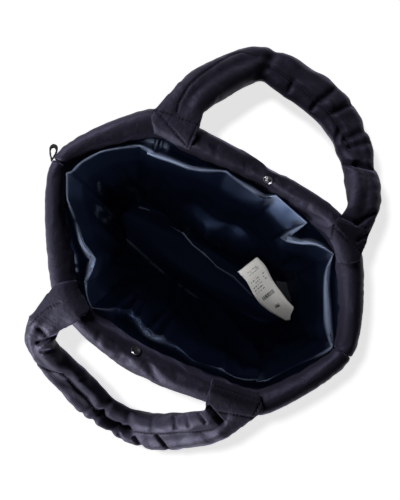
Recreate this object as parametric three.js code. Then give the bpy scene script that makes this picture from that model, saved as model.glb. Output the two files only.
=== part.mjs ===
// A mini puffer bag: a small padded tote that stands open, with both handles fallen outwards.
// Millimetres, +Z up. +X runs along the two long panels and +Y points to the back panel.
// The origin is on the surface that the bag stands on, under the middle of the flat base.

import * as THREE from 'three';

const { lerp, smoothstep } = THREE.MathUtils;

// Driving sizes
const GAP = 0.5;                              // clearance between two pieces that are sewn together
const BASE_THICK = 12;                        // padded base
const WALL_THICK = 22;                        // padded wall, in the middle of a channel
const SEAM_THICK = 8;                         // padded wall, where it is stitched through
const QUILT_HEIGHTS = [BASE_THICK + GAP, 78, 144];   // base seam and the two quilting lines
const LINING_THICK = 1.2;
const PATCH_THICK = 4;                        // flattened end of a handle, sewn over the rim
const PATCH_GAP = 0.7;                        // clearance under that end, over the facets of the rim
const GROOVE = 4;                             // depth of the stitched line along a handle
const STATIONS_PER_ROW = 6;                   // stations between two rows of the mouth table
const ROLL_STEPS = 6;                         // facets over the top of the rolled rim

// The mouth, clockwise from above. x and y lie on the rim's outermost edge, top is the rim's height and
// roll its thickness there. base_x and base_y lie on the edge of the base, straight below along the wall.
const MOUTH = [
  { at: 'left_seam', x: -169, y: 10, top: 212, roll: 15, base_x: -128, base_y: 1 },
  { at: 'back_left_corner', x: -117, y: 94, top: 218, roll: 23, base_x: -106, base_y: 42 },
  { at: 'back_left_root', x: -68, y: 103, top: 220, roll: 21, base_x: -66, base_y: 48 },
  { at: 'back_middle', x: 8, y: 109, top: 214, roll: 16, base_x: 2, base_y: 50 },
  { at: 'back_right_root', x: 80, y: 105, top: 220, roll: 18, base_x: 66, base_y: 48 },
  { at: 'back_right_corner', x: 120, y: 79, top: 218, roll: 23, base_x: 106, base_y: 42 },
  { at: 'right_seam', x: 159, y: 0, top: 212, roll: 19, base_x: 128, base_y: -1 },
  { at: 'front_right_corner', x: 118, y: -84, top: 218, roll: 20, base_x: 106, base_y: -42 },
  { at: 'front_right_root', x: 65, y: -103, top: 220, roll: 21, base_x: 66, base_y: -48 },
  { at: 'front_middle', x: -11, y: -117, top: 214, roll: 25, base_x: -2, base_y: -50 },
  { at: 'front_left_root', x: -71, y: -108, top: 220, roll: 19, base_x: -66, base_y: -48 },
  { at: 'front_left_corner', x: -109, y: -86, top: 218, roll: 23, base_x: -106, base_y: -42 },
];
const ROW = Object.fromEntries(MOUTH.map((row, index) => [row.at, index]));

// The lining's folds, in the same order round the mouth. station counts from the left seam, crest is how
// far the fold stands in from the rim, drop how far it lies under the rim's widest part, and slack how far
// the cloth hangs off the padded wall half way down.
const LINING_FOLDS = [
  { station: 0, crest: 2, drop: 8, slack: 3 },
  { station: 1, crest: 5, drop: 10, slack: 6 },
  { station: 3, crest: 3, drop: 9, slack: 3 },
  { station: 5, crest: 7, drop: 12, slack: 5 },
  { station: 6, crest: 14, drop: 15, slack: 8 },
  { station: 11, crest: 15, drop: 17, slack: 5 },
  { station: 13, crest: 14, drop: 18, slack: 7 },
  { station: 14, crest: 10, drop: 15, slack: 4 },
  { station: 15, crest: 4, drop: 11, slack: 7 },
  { station: 16, crest: 9, drop: 15, slack: 9 },
  { station: 18, crest: 13, drop: 17, slack: 4 },
  { station: 19, crest: 4, drop: 10, slack: 6 },
  { station: 21, crest: 8, drop: 12, slack: 8 },
  { station: 22, crest: 28, drop: 22, slack: 4 },
  { station: 24, crest: 19, drop: 18, slack: 7 },
  { station: 28, crest: 5, drop: 10, slack: 3 },
  { station: 30, crest: 9, drop: 14, slack: 6 },
  { station: 32, crest: 16, drop: 17, slack: 4 },
  { station: 34, crest: 14, drop: 16, slack: 6 },
  { station: 36, crest: 3, drop: 8, slack: 3 },
  { station: 38, crest: 4, drop: 10, slack: 6 },
  { station: 41, crest: 3, drop: 9, slack: 4 },
  { station: 43, crest: 6, drop: 12, slack: 8 },
  { station: 46, crest: 3, drop: 9, slack: 4 },
  { station: 48, crest: 5, drop: 11, slack: 7 },
  { station: 50, crest: 3, drop: 9, slack: 4 },
  { station: 51, crest: 7, drop: 13, slack: 7 },
  { station: 54, crest: 5, drop: 12, slack: 4 },
  { station: 57, crest: 13, drop: 17, slack: 8 },
  { station: 60, crest: 3, drop: 9, slack: 4 },
  { station: 63, crest: 5, drop: 11, slack: 7 },
  { station: 65, crest: 7, drop: 13, slack: 4 },
  { station: 67, crest: 16, drop: 18, slack: 7 },
  { station: 68, crest: 9, drop: 14, slack: 4 },
  { station: 70, crest: 3, drop: 9, slack: 6 },
];

// The handles' free stretch from one root to the other, with the section's width and thickness.
const BACK_HANDLE = [
  { x: -91, y: 122, z: 208, wide: 37, thick: 15 },
  { x: -84, y: 143, z: 194, wide: 35, thick: 26 },
  { x: -69, y: 171, z: 179, wide: 32, thick: 27 },
  { x: -50, y: 190, z: 172, wide: 31, thick: 25 },
  { x: -19, y: 191, z: 170, wide: 34, thick: 27 },
  { x: 14, y: 190, z: 170, wide: 35, thick: 28 },
  { x: 36, y: 182, z: 172, wide: 34, thick: 27 },
  { x: 60, y: 166, z: 178, wide: 30, thick: 27 },
  { x: 74, y: 151, z: 186, wide: 26, thick: 22 },
  { x: 85, y: 138, z: 194, wide: 30, thick: 26 },
  { x: 95, y: 120, z: 209, wide: 31, thick: 14 },
];
const FRONT_HANDLE = [
  { x: 86, y: -115, z: 208, wide: 36, thick: 15 },
  { x: 74, y: -131, z: 186, wide: 37, thick: 26 },
  { x: 56, y: -149, z: 161, wide: 38, thick: 28 },
  { x: 35, y: -163, z: 145, wide: 37, thick: 28 },
  { x: 8, y: -169, z: 140, wide: 35, thick: 25 },
  { x: -20, y: -166, z: 145, wide: 36, thick: 28 },
  { x: -48, y: -157, z: 156, wide: 33, thick: 27 },
  { x: -74, y: -149, z: 173, wide: 31, thick: 26 },
  { x: -91, y: -138, z: 190, wide: 29, thick: 24 },
  { x: -95, y: -121, z: 208, wide: 32, thick: 15 },
];
const BACK_DROOP = 30;                        // degrees that a handle's plane leans down, away from the bag
const FRONT_DROOP = 45;

const SNAP = { angle: 125, radius: 5, plate: 1.4, stud_radius: 2.2, stud: 1.6 };
const LABEL = { wide: 24, long: 80, tape: 0.8, open: 2.6, bow: 7, height: 64, inset: 36.5, side: -6 };
const DARK_LABEL = { wide: 22, long: 46, tape: 0.8, open: 1.4, bow: 3, height: 54, inset: 39, side: -2 };
const SIDE_LOOP = { wide: 9, long: 14, cord: 2, height: 200 };

const COLOURS = {
  shell: { color: 0x24232f, roughness: 0.62, metalness: 0 },
  lining: { color: 0x14203c, roughness: 0.28, metalness: 0 },
  snap: { color: 0x8f9094, roughness: 0.3, metalness: 1 },
  label: { color: 0xe8e6e0, roughness: 0.75, metalness: 0 },
  dark_label: { color: 0x26262a, roughness: 0.5, metalness: 0 },
  cord: { color: 0x101012, roughness: 0.6, metalness: 0 },
};

// A closed skin through rings of equally many points. The ends are fanned to their middle, or filled
// between the points of a flat contour, or joined to each other.
function skin(rings, { ends = 'fan', contour = null } = {}) {
  const count = rings[0].length;
  const points = rings.flat().map((point) => point.clone());
  const faces = [];
  const joined = ends === 'joined';
  for (let ring = 0; ring < rings.length - (joined ? 0 : 1); ring += 1) {
    const here = ring * count;
    const next = ((ring + 1) % rings.length) * count;
    for (let k = 0; k < count; k += 1) {
      const side = (k + 1) % count;
      faces.push([here + k, next + k, next + side], [here + k, next + side, here + side]);
    }
  }
  if (!joined) {
    closeEnd(points, faces, 0, count, contour, false);
    closeEnd(points, faces, (rings.length - 1) * count, count, contour, true);
  }
  return solid(points, faces);
}

function closeEnd(points, faces, first, count, contour, last) {
  let end = [];
  if (contour) {
    end = THREE.ShapeUtils.triangulateShape(contour.map(([a, b]) => new THREE.Vector2(a, b)), [])
      .map((face) => face.map((k) => first + k));
    const area = THREE.ShapeUtils.area(contour.map(([a, b]) => new THREE.Vector2(a, b)));
    if (area < 0) end = end.map(([a, b, c]) => [a, c, b]);
  } else {
    const middle = new THREE.Vector3();
    for (let k = 0; k < count; k += 1) middle.addScaledVector(points[first + k], 1 / count);
    points.push(middle);
    for (let k = 0; k < count; k += 1) end.push([points.length - 1, first + k, first + ((k + 1) % count)]);
  }
  faces.push(...(last ? end.map(([a, b, c]) => [a, c, b]) : end));
}

// A geometry whose faces point outwards.
function solid(points, faces) {
  let volume = 0;
  for (const [a, b, c] of faces) {
    volume += points[a].dot(new THREE.Vector3().crossVectors(points[b], points[c]));
  }
  const outward = volume < 0 ? faces.map(([a, b, c]) => [a, c, b]) : faces;
  const geometry = new THREE.BufferGeometry();
  geometry.setAttribute('position', new THREE.Float32BufferAttribute(points.flatMap((p) => p.toArray()), 3));
  geometry.setIndex(outward.flat());
  geometry.computeVertexNormals();
  return geometry;
}

function piece(name, geometry, finish) {
  const mesh = new THREE.Mesh(geometry, new THREE.MeshStandardMaterial(COLOURS[finish]));
  mesh.name = name;
  return mesh;
}

// The wall's outline. A place round the mouth is counted in rows of the mouth table.
const closedCurve = (points) => new THREE.CatmullRomCurve3(points, true, 'catmullrom', 0.38);
const mouthCurve = closedCurve(MOUTH.map((row) => new THREE.Vector3(row.x, row.y, 0)));
const baseCurve = closedCurve(MOUTH.map((row) => new THREE.Vector3(row.base_x, row.base_y, 0)));
const stationCount = MOUTH.length * STATIONS_PER_ROW;

const BASE_HALF = { x: 128, y: 50 };

function column(name, row) {
  const low = Math.floor(row);
  const [from, to] = [MOUTH[low % MOUTH.length], MOUTH[(low + 1) % MOUTH.length]];
  return lerp(from[name], to[name], smoothstep(row - low, 0, 1));
}

function rimAt(row) {
  const share = (row / MOUTH.length) % 1;
  const tangent = mouthCurve.getTangent(share);
  const roll = column('roll', row);
  const base = baseCurve.getPoint(share);
  return {
    mouth: mouthCurve.getPoint(share),
    base,
    inward: new THREE.Vector3(-base.x / BASE_HALF.x, -base.y / BASE_HALF.y, 0),
    along: tangent,
    out: new THREE.Vector3(-tangent.y, tangent.x, 0),
    roll,
    widest: column('top', row) - roll / 2,
  };
}

// A point at a height, depth millimetres in from the straight line between base edge and rim edge.
function wallPoint(rim, depth, z) {
  const lean = Math.min(1, z / rim.widest);
  const inward = rim.inward.clone().lerp(rim.out.clone().negate(), lean);
  return rim.base.clone().lerp(rim.mouth, lean).addScaledVector(inward, depth).setZ(z);
}

// A point on the rolled rim: angle 0 is its outer side, 90 its top, 180 its inner side.
function rollPoint(row, angle, lift) {
  const rim = rimAt(row);
  const turn = THREE.MathUtils.degToRad(angle);
  const depth = (rim.roll / 2) * (1 - Math.cos(turn)) - lift * Math.cos(turn);
  return wallPoint(rim, depth, rim.widest + (rim.roll / 2 + lift) * Math.sin(turn));
}

// Padded walls
const PINCH = (WALL_THICK - SEAM_THICK) / 2;
const swell = (share) => Math.sin(Math.PI * share) ** 0.6;
const OUTER_STEPS = 4;
const INNER_STEPS = 2;

// The closed section of the wall, as pairs of depth and height: up the outer face, over the rolled rim and
// down the inner face. Each channel swells between its two stitched lines.
function wallSection(rim) {
  const section = [];
  const [, , lastSeam] = QUILT_HEIGHTS;
  const channels = [[QUILT_HEIGHTS[0], QUILT_HEIGHTS[1]], [QUILT_HEIGHTS[1], lastSeam]];
  for (const [low, high] of channels) {
    for (let step = 0; step < OUTER_STEPS; step += 1) {
      const share = step / OUTER_STEPS;
      section.push([PINCH * (1 - swell(share)), lerp(low, high, share)]);
    }
  }
  for (let step = 0; step < OUTER_STEPS; step += 1) {
    const share = step / OUTER_STEPS;
    section.push([PINCH * (1 - swell(share / 2)), lerp(lastSeam, rim.widest, share)]);
  }
  for (let step = 0; step <= ROLL_STEPS; step += 1) {
    const turn = (Math.PI * step) / ROLL_STEPS;
    section.push([(rim.roll / 2) * (1 - Math.cos(turn)), rim.widest + (rim.roll / 2) * Math.sin(turn)]);
  }
  for (let step = OUTER_STEPS - 1; step >= 0; step -= 1) {
    const share = step / OUTER_STEPS;
    const thick = lerp(WALL_THICK, rim.roll, share);
    section.push([thick - PINCH * (1 - swell(share / 2)), lerp(lastSeam, rim.widest, share)]);
  }
  for (const [low, high] of channels.toReversed()) {
    for (let step = INNER_STEPS - 1; step >= 0; step -= 1) {
      const share = step / INNER_STEPS;
      section.push([WALL_THICK - PINCH * (1 - swell(share)), lerp(low, high, share)]);
    }
  }
  return section;
}

// One long panel with its half of both ends, from side seam to side seam.
function panel(fromRow, toRow) {
  const steps = (toRow - fromRow) * STATIONS_PER_ROW;
  const rings = [];
  let contour = null;
  for (let step = 0; step <= steps; step += 1) {
    const rim = rimAt(fromRow + step / STATIONS_PER_ROW);
    const section = wallSection(rim);
    contour ??= section;
    // The two ends stand half a gap short of the side seams.
    const short = step === 0 ? GAP / 2 : step === steps ? -GAP / 2 : 0;
    rings.push(section.map(([depth, z]) => wallPoint(rim, depth, z).addScaledVector(rim.along, short)));
  }
  return skin(rings, { contour });
}

// The padded base: a flat underside with a soft edge, under the walls.
const BASE_EDGE = [
  { z: 0, inset: 7 },
  { z: 2.5, inset: 3 },
  { z: 6, inset: 1.5 },
  { z: 9.5, inset: 3 },
  { z: BASE_THICK, inset: 6 },
];

function basePanel() {
  const rings = BASE_EDGE.map(({ z, inset }) => {
    const ring = [];
    for (let station = 0; station < stationCount; station += 2) {
      const rim = rimAt(station / STATIONS_PER_ROW);
      ring.push(wallPoint(rim, inset, 0).setZ(z));
    }
    return ring;
  });
  return skin(rings);
}

// The lining: a thin bag that hangs from the rim in flat, sharp folds.
const LINING_LEVELS = [
  { level: 'seam' },
  { level: 'groove' },
  { level: 'crest' },
  { level: 'under_crest', z: 166, crest: 0.6, slack: 0.4 },
  { level: 'half_way', z: 115, crest: 0.15, slack: 1 },
  { level: 'low', z: 55, crest: 0, slack: 0.6 },
  { level: 'base_edge', z: BASE_THICK + GAP, crest: 0, slack: 0 },
  { level: 'base_ring', z: BASE_THICK + GAP, crest: 0, slack: 0 },
];
const RIM_WALL_THICK = 18;                    // padded wall, just under a slim stretch of the rim
const GROOVE_DROP = 3;                        // how far the hollow behind a fold lies under its crest
const LINING_CLEAR = 2;                       // least distance from the padded wall, below the rim
const BASE_CORNER_INSET = 4;
const BASE_RING_SHARE = 0.6;

function foldAt(station) {
  const folds = [...LINING_FOLDS, { ...LINING_FOLDS[0], station: stationCount }];
  const next = folds.findIndex((fold) => fold.station > station);
  const [from, to] = [folds[next - 1], folds[next]];
  const share = (station - from.station) / (to.station - from.station);
  const between = (name) => lerp(from[name], to[name], share);
  return { crest: between('crest'), drop: between('drop'), slack: between('slack') };
}

function liningPoint(rim, fold, { level, z, crest, slack }) {
  const behind = Math.max(rim.roll, RIM_WALL_THICK) + GAP;
  if (level === 'seam') return wallPoint(rim, rim.roll + GAP, rim.widest - 1);
  if (level === 'groove') return wallPoint(rim, behind + 0.4 * fold.crest, rim.widest - fold.drop - GROOVE_DROP);
  if (level === 'crest') return wallPoint(rim, behind + 1 + fold.crest, rim.widest - fold.drop);
  const wall = Math.max(rim.roll, WALL_THICK) + LINING_CLEAR;
  const point = wallPoint(rim, wall + crest * fold.crest + slack * fold.slack, z);
  if (level === 'base_edge') point.addScaledVector(rim.out, -BASE_CORNER_INSET);
  if (level === 'base_ring') point.multiply(new THREE.Vector3(BASE_RING_SHARE, BASE_RING_SHARE, 1));
  return point;
}

// The lining's outer face, as one ring of points for each level, from the rim down.
function liningFace() {
  return LINING_LEVELS.map((level) => {
    const ring = [];
    for (let station = 0; station < stationCount; station += 1) {
      ring.push(liningPoint(rimAt(station / STATIONS_PER_ROW), foldAt(station), level));
    }
    return ring;
  });
}

// The direction from the lining's outer face to its inner face at one point.
function liningInward(face, level, station) {
  const ring = face[level];
  const along = ring[(station + 1) % stationCount].clone().sub(ring.at(station - 1));
  const above = face[Math.max(0, level - 1)][station];
  const below = face[Math.min(face.length - 1, level + 1)][station];
  return new THREE.Vector3().crossVectors(below.clone().sub(above), along).normalize();
}

function lining() {
  const outer = liningFace();
  const inner = outer.map((ring, level) => ring.map(
    (point, station) => point.clone().addScaledVector(liningInward(outer, level, station), LINING_THICK),
  ));
  return skin([...outer.toReversed(), ...inner]);
}

// Handles: a padded tube with a stitched line along its top, flattened over the rim at both roots.
const SIDES = 2 * (STATIONS_PER_ROW + 1);
const PATCH_ANGLES = [150, 120, 90, 60];
const STEPS_PER_HANDLE_ROW = 3;

function patchRing(fromRow, toRow, angle) {
  const under = [];
  const over = [];
  for (let step = 0; step <= STATIONS_PER_ROW; step += 1) {
    const row = lerp(fromRow, toRow, step / STATIONS_PER_ROW);
    under.push(rollPoint(row, angle, PATCH_GAP));
    over.push(rollPoint(row, angle, PATCH_GAP + PATCH_THICK));
  }
  return [...under, ...over.toReversed()];
}

function tubeRing(centre, tangent, lift, wide, thick) {
  const side = new THREE.Vector3().crossVectors(tangent, lift).normalize();
  const up = new THREE.Vector3().crossVectors(side, tangent);
  const ring = [];
  for (let k = 0; k < SIDES; k += 1) {
    const turn = Math.PI + (2 * Math.PI * (k + 0.5)) / SIDES;
    const seam = k === (3 * STATIONS_PER_ROW) / 2 + 1 ? GROOVE : 0;
    const point = centre.clone().addScaledVector(side, (wide / 2) * Math.cos(turn));
    ring.push(point.addScaledVector(up, (thick / 2) * Math.sin(turn) - seam));
  }
  return ring;
}

function handle(rows, startPatch, endPatch, droop, outward) {
  const curve = new THREE.CatmullRomCurve3(rows.map(({ x, y, z }) => new THREE.Vector3(x, y, z)));
  const lean = THREE.MathUtils.degToRad(droop);
  const lift = new THREE.Vector3(0, outward * Math.sin(lean), Math.cos(lean));
  const steps = (rows.length - 1) * STEPS_PER_HANDLE_ROW;
  const rings = PATCH_ANGLES.map((angle) => patchRing(...startPatch, angle));
  for (let step = 0; step <= steps; step += 1) {
    const row = Math.min(Math.floor(step / STEPS_PER_HANDLE_ROW), rows.length - 2);
    const share = smoothstep(step / STEPS_PER_HANDLE_ROW - row, 0, 1);
    const wide = lerp(rows[row].wide, rows[row + 1].wide, share);
    const thick = lerp(rows[row].thick, rows[row + 1].thick, share);
    rings.push(tubeRing(curve.getPoint(step / steps), curve.getTangent(step / steps), lift, wide, thick));
  }
  rings.push(...PATCH_ANGLES.toReversed().map((angle) => patchRing(...endPatch, angle)));
  const across = Array.from({ length: STATIONS_PER_ROW + 1 }, (_, k) => k);
  const contour = [...across.map((k) => [k, 0]), ...across.toReversed().map((k) => [k, 1])];
  return skin(rings, { contour });
}

// A metal snap half on the inner side of the rolled rim.
function snap(name, row) {
  const { radius, plate, stud_radius, stud, angle } = SNAP;
  const profile = [
    [0, 0], [radius - 0.6, 0], [radius, 0.5], [radius, plate - 0.4], [radius - 0.5, plate],
    [stud_radius, plate], [stud_radius, plate + stud - 0.5], [stud_radius - 0.5, plate + stud], [0, plate + stud],
  ];
  const geometry = new THREE.LatheGeometry(profile.map(([r, h]) => new THREE.Vector2(r, h)), 16);
  const mesh = piece(name, geometry, 'snap');
  const seat = rollPoint(row, angle, GAP);
  const normal = rollPoint(row, angle, GAP + 1).sub(seat).normalize();
  mesh.position.copy(seat);
  mesh.quaternion.setFromUnitVectors(new THREE.Vector3(0, 1, 0), normal);
  return mesh;
}

// A label: a tape folded back on itself, both ends sewn into the lining's right seam.
function label(name, { wide, long, tape, open, bow, height, inset, side }, along, across, finish) {
  const steps = 8;
  const layer = (offset, reach) => Array.from({ length: steps + 1 }, (_, k) => {
    const share = k / steps;
    const spread = lerp(0.9 * tape, open, smoothstep(share, 0, 1)) * Math.sign(offset);
    return new THREE.Vector2(share * reach, spread + offset + bow * Math.sin(Math.PI * share));
  });
  const fold = (radius) => Array.from({ length: steps - 1 }, (_, k) => {
    const turn = Math.PI / 2 - (Math.PI * (k + 1)) / steps;
    return new THREE.Vector2(long + radius * Math.cos(turn), radius * Math.sin(turn));
  });
  const half = tape / 2;
  const near = (side) => layer(side * half, long);
  const inside = (side) => layer(side * half, long).map((p) => p.setY(p.y - side * tape));
  const outline = new THREE.Shape([
    ...near(1), ...fold(open + half), ...near(-1).toReversed(),
    ...inside(-1), ...fold(open - half).toReversed(), ...inside(1).toReversed(),
  ]);
  const geometry = new THREE.ExtrudeGeometry(outline, { depth: wide, bevelEnabled: false, steps: 1 });
  geometry.translate(0, 0, -wide / 2);
  const a = new THREE.Vector3(...along).normalize();
  const w = new THREE.Vector3(...across).addScaledVector(a, -a.dot(new THREE.Vector3(...across))).normalize();
  const frame = new THREE.Matrix4().makeBasis(a, new THREE.Vector3().crossVectors(w, a), w);
  const seam = wallPoint(rimAt(ROW.right_seam), inset, height).setY(side);
  const mesh = piece(name, geometry, finish);
  mesh.applyMatrix4(frame.setPosition(seam));
  return mesh;
}

// A small loop of stiff cord, sewn into the left side seam below the rim.
function sideLoop() {
  const { wide, long, cord, height } = SIDE_LOOP;
  const outline = [[0, 0], [0.55 * long, -0.3 * wide], [long, -0.5 * wide], [1.05 * long, 0],
    [long, 0.5 * wide], [0.55 * long, 0.3 * wide]];
  const curve = closedCurve(outline.map(([x, y]) => new THREE.Vector3(x, y, 0)));
  const steps = 24;
  const sides = 6;
  const rings = Array.from({ length: steps }, (_, step) => {
    const centre = curve.getPoint(step / steps);
    const tangent = curve.getTangent(step / steps);
    const across = new THREE.Vector3(-tangent.y, tangent.x, 0);
    return Array.from({ length: sides }, (_side, k) => {
      const turn = (2 * Math.PI * k) / sides;
      return centre.clone().addScaledVector(across, (cord / 2) * Math.cos(turn)).setZ((cord / 2) * Math.sin(turn));
    });
  });
  const mesh = piece('side_loop', skin(rings, { ends: 'joined' }), 'cord');
  mesh.position.copy(wallPoint(rimAt(ROW.left_seam), -cord / 2 - GAP, height));
  mesh.rotation.z = THREE.MathUtils.degToRad(125);
  return mesh;
}

const bag = new THREE.Group();
bag.add(
  piece('base_panel', basePanel(), 'shell'),
  piece('back_panel', panel(ROW.left_seam, ROW.right_seam), 'shell'),
  piece('front_panel', panel(ROW.right_seam, MOUTH.length), 'shell'),
  piece('lining', lining(), 'lining'),
  piece('back_handle', handle(
    BACK_HANDLE,
    [ROW.back_left_corner, ROW.back_left_root],
    [ROW.back_right_corner, ROW.back_right_root],
    BACK_DROOP,
    1,
  ), 'shell'),
  piece('front_handle', handle(
    FRONT_HANDLE,
    [ROW.front_right_corner, ROW.front_right_root],
    [ROW.front_left_corner, ROW.front_left_root],
    FRONT_DROOP,
    -1,
  ), 'shell'),
  snap('back_snap', ROW.back_middle),
  snap('front_snap', ROW.front_middle),
  label('care_label', LABEL, [-71, 28, 38], [0.34, 0.94, 0], 'label'),
  label('dark_label', DARK_LABEL, [-40, 32, 20], [0.62, 0.78, 0], 'dark_label'),
  sideLoop(),
);

export default bag;
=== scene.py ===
import math

import bmesh
import bpy
import numpy as np
from mathutils import Matrix, Vector


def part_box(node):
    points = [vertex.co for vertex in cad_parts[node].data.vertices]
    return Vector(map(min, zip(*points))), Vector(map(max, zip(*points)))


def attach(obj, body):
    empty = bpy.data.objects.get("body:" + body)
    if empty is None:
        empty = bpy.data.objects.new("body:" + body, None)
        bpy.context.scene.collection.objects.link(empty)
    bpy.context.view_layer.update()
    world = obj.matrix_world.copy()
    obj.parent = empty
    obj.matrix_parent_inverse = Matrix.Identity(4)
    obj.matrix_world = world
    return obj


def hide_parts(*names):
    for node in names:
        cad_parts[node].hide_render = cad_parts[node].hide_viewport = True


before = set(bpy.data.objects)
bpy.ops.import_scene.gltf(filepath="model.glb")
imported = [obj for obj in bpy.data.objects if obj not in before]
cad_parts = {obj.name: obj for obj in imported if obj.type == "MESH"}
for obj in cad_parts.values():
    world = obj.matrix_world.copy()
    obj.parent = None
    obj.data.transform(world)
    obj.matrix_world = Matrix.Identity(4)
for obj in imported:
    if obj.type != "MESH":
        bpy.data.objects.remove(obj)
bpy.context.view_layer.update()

bpy.ops.object.select_all(action="DESELECT")


# Camera
# The bag is seen from straight above, with its long side turned across the frame.
bpy.ops.object.camera_add(location=(-0.0107, 0.0103, 1.518), rotation=(0, 0, math.radians(32)))
camera = bpy.context.object
camera.name = "camera"
camera.data.sensor_width = 36
camera.data.lens = 104
bpy.context.scene.camera = camera


# Floor and light
# A bright paper sheet under the bag, in front of a white backdrop. Soft lamps stand low in front of the
# bag and higher at its left end, a small one hangs above and gives the pale shadow, and the room is dim.
bpy.ops.mesh.primitive_plane_add(size=6, location=(0, 0, -0.0004))
floor = bpy.context.object
floor.name = "floor"
paper = bpy.data.materials.new("floor_paper")
paper.use_nodes = True
paper_shader = paper.node_tree.nodes["Principled BSDF"]
paper_shader.inputs["Base Color"].default_value = (0.9, 0.9, 0.895, 1)
paper_shader.inputs["Roughness"].default_value = 0.9
paper_shader.inputs["Specular IOR Level"].default_value = 0.1
paper_shader.inputs["Emission Color"].default_value = (1, 1, 1, 1)
paper_shader.inputs["Emission Strength"].default_value = 0.72
floor.data.materials.append(paper)


def lamp(name, place, aim, size, watts):
    bpy.ops.object.light_add(type="AREA", location=place)
    light = bpy.context.object
    light.name = name
    light.data.shape = "DISK"
    light.data.size = size
    light.data.energy = watts
    light.rotation_euler = (Vector(aim) - Vector(place)).to_track_quat("-Z", "Y").to_euler()
    return light


def lit_by(light, *pieces, only):
    """Limits a lamp to the pieces given, or to everything but them."""
    group = bpy.data.collections.new(light.name + "_reach")
    for piece in pieces:
        group.objects.link(piece)
    for entry in group.collection_objects:
        entry.light_linking.link_state = "INCLUDE" if only else "EXCLUDE"
    light.light_linking.receiver_collection = group


front_lamp = lamp("front_lamp", (-0.46, -1.12, 0.27), (0, -0.02, 0.18), 0.4, 33)
lit_by(front_lamp, floor, only=False)
left_lamp = lamp("left_lamp", (-1.0, 0.3, 0.75), (-0.1, 0, 0.18), 0.5, 18)
high_lamp = lamp("high_lamp", (-0.23, 0.05, 2.2), (0, 0, 0.1), 0.09, 14)
high_lamp.visible_glossy = False
room = bpy.data.worlds.new("room")
room.use_nodes = True
room_tree = room.node_tree
dim_room = room_tree.nodes["Background"]
dim_room.inputs["Color"].default_value = (1, 0.98, 0.95, 1)
dim_room.inputs["Strength"].default_value = 0.055
backdrop = room_tree.nodes.new("ShaderNodeBackground")
backdrop.inputs["Color"].default_value = (1, 1, 1, 1)
seen = room_tree.nodes.new("ShaderNodeLightPath")
either = room_tree.nodes.new("ShaderNodeMixShader")
room_tree.links.new(seen.outputs["Is Camera Ray"], either.inputs["Fac"])
room_tree.links.new(dim_room.outputs[0], either.inputs[1])
room_tree.links.new(backdrop.outputs[0], either.inputs[2])
room_tree.links.new(either.outputs[0], room_tree.nodes["World Output"].inputs["Surface"])
bpy.context.scene.world = room
bpy.context.scene.view_settings.view_transform = "Standard"


# Padded walls
# Two panels of fine navy nylon over wadding, each with its half of both ends. They are stitched through
# along two level lines, gathered at the side seams, and rolled over at the top to make the soft rim.
def weave_group():
    """The height of a plain weave, made of crossed sine waves."""
    group = bpy.data.node_groups.new("cloth_weave", "ShaderNodeTree")
    group.interface.new_socket("Vector", in_out="INPUT", socket_type="NodeSocketVector")
    group.interface.new_socket("Threads", in_out="INPUT", socket_type="NodeSocketFloat")
    group.interface.new_socket("Height", in_out="OUTPUT", socket_type="NodeSocketFloat")
    entry = group.nodes.new("NodeGroupInput")
    leave = group.nodes.new("NodeGroupOutput")
    scaled = group.nodes.new("ShaderNodeVectorMath")
    scaled.operation = "SCALE"
    waves = group.nodes.new("ShaderNodeVectorMath")
    waves.operation = "SINE"
    crossed = group.nodes.new("ShaderNodeVectorMath")
    crossed.operation = "DOT_PRODUCT"
    parts = group.nodes.new("ShaderNodeSeparateXYZ")
    turned = group.nodes.new("ShaderNodeCombineXYZ")
    link = group.links.new
    link(entry.outputs["Vector"], scaled.inputs[0])
    link(entry.outputs["Threads"], scaled.inputs["Scale"])
    link(scaled.outputs[0], waves.inputs[0])
    link(waves.outputs[0], parts.inputs[0])
    link(parts.outputs["Y"], turned.inputs["X"])
    link(parts.outputs["Z"], turned.inputs["Y"])
    link(parts.outputs["X"], turned.inputs["Z"])
    link(waves.outputs[0], crossed.inputs[0])
    link(turned.outputs[0], crossed.inputs[1])
    link(crossed.outputs["Value"], leave.inputs["Height"])
    return group


weave = weave_group()


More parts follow.
